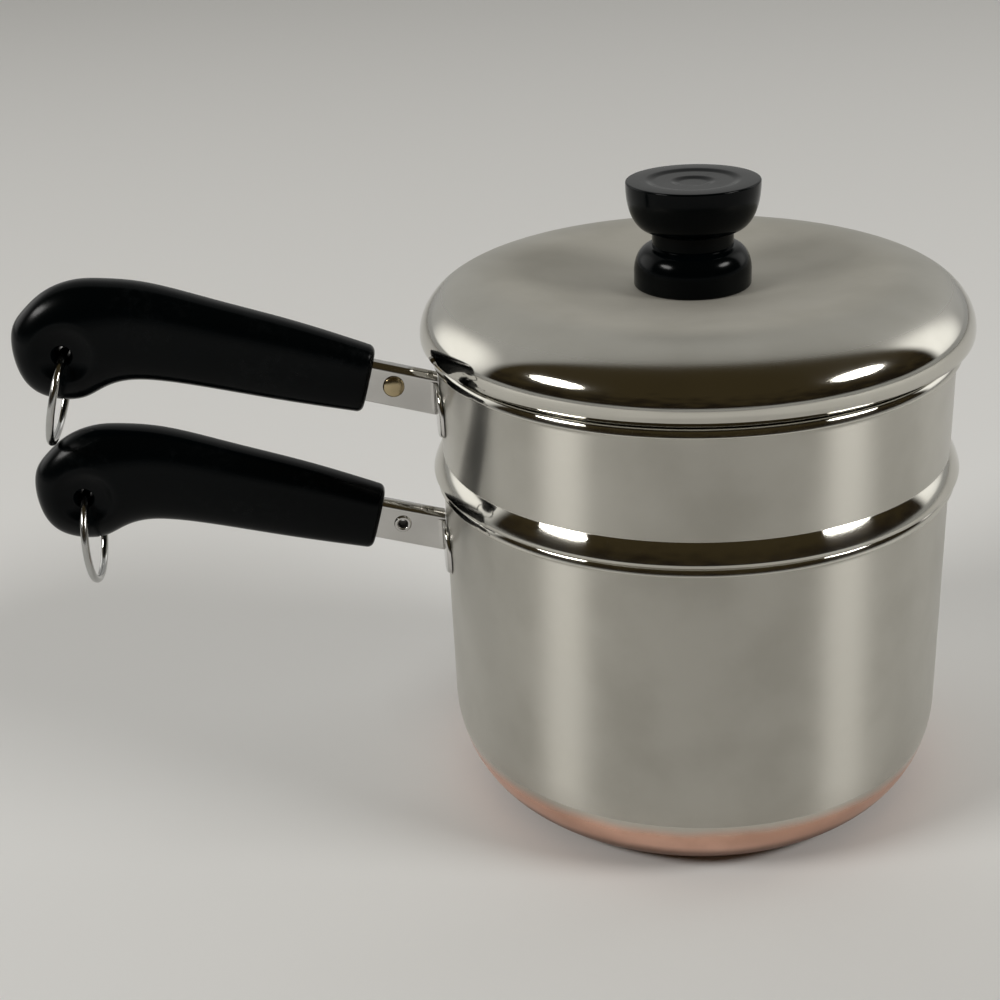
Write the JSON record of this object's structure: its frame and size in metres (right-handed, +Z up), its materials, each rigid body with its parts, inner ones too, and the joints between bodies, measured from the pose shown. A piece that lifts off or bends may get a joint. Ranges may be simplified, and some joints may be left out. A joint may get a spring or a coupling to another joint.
{
  "type": "saucepan with steamer insert",
  "caption": "Copper-bottomed stainless saucepan with a stacked steamer insert, a domed lid with a black knob, and black grips on folded steel brackets that end in hanging rings.",
  "frame": {"origin": "on the pan's axis, at the underside of its base", "axes": "+Z up along the pan's axis; both handles point along -X; Y is across the handles"},
  "size_m": [0.3216, 0.186, 0.2183],
  "materials": {
    "stainless_steel": "polished, with a fine grain round the axis",
    "bracket_steel": "satin pressed sheet",
    "ring_steel": "bright plated wire",
    "copper": "satin copper plating",
    "rivet_brass": "dull brass",
    "black_phenolic": "satin moulded phenolic"
  },
  "bodies": {
    "saucepan": {"pan_body": "stainless_steel", "pan_copper_base": "copper", "pan_handle_bracket": "bracket_steel", "pan_handle_tang": "bracket_steel", "pan_bracket_eyelet": "bracket_steel", "pan_grip": "black_phenolic"},
    "pan_ring": {"pan_hang_ring": "ring_steel"},
    "steamer": {"steamer_body": "stainless_steel", "steamer_handle_bracket": "bracket_steel", "steamer_handle_tang": "bracket_steel", "steamer_bracket_rivet": "rivet_brass", "steamer_grip": "black_phenolic"},
    "steamer_ring": {"steamer_hang_ring": "ring_steel"},
    "lid": {"lid_shell": "stainless_steel", "knob_base": "black_phenolic", "knob_cap": "black_phenolic", "knob_insert": "rivet_brass", "knob_screw": "ring_steel", "knob_washer": "ring_steel"}
  },
  "joints": [
    {"name": "pan_ring_swing", "type": "hinge", "parent": "saucepan", "child": "pan_ring", "pos_m": [-0.2117, 0, 0.12199], "axis": [0, 1, 0], "range_deg": [-50, 95]},
    {"name": "steamer_lift", "type": "slide", "parent": "saucepan", "child": "steamer", "axis": [0, 0, 1], "range_m": [0, 0.09]},
    {"name": "steamer_ring_swing", "type": "hinge", "parent": "steamer", "child": "steamer_ring", "pos_m": [-0.2113, 0, 0.17352], "axis": [0, 1, 0], "range_deg": [0, 80]},
    {"name": "lid_lift", "type": "slide", "parent": "steamer", "child": "lid", "axis": [0, 0, 1], "range_m": [0, 0.08]}
  ]
}
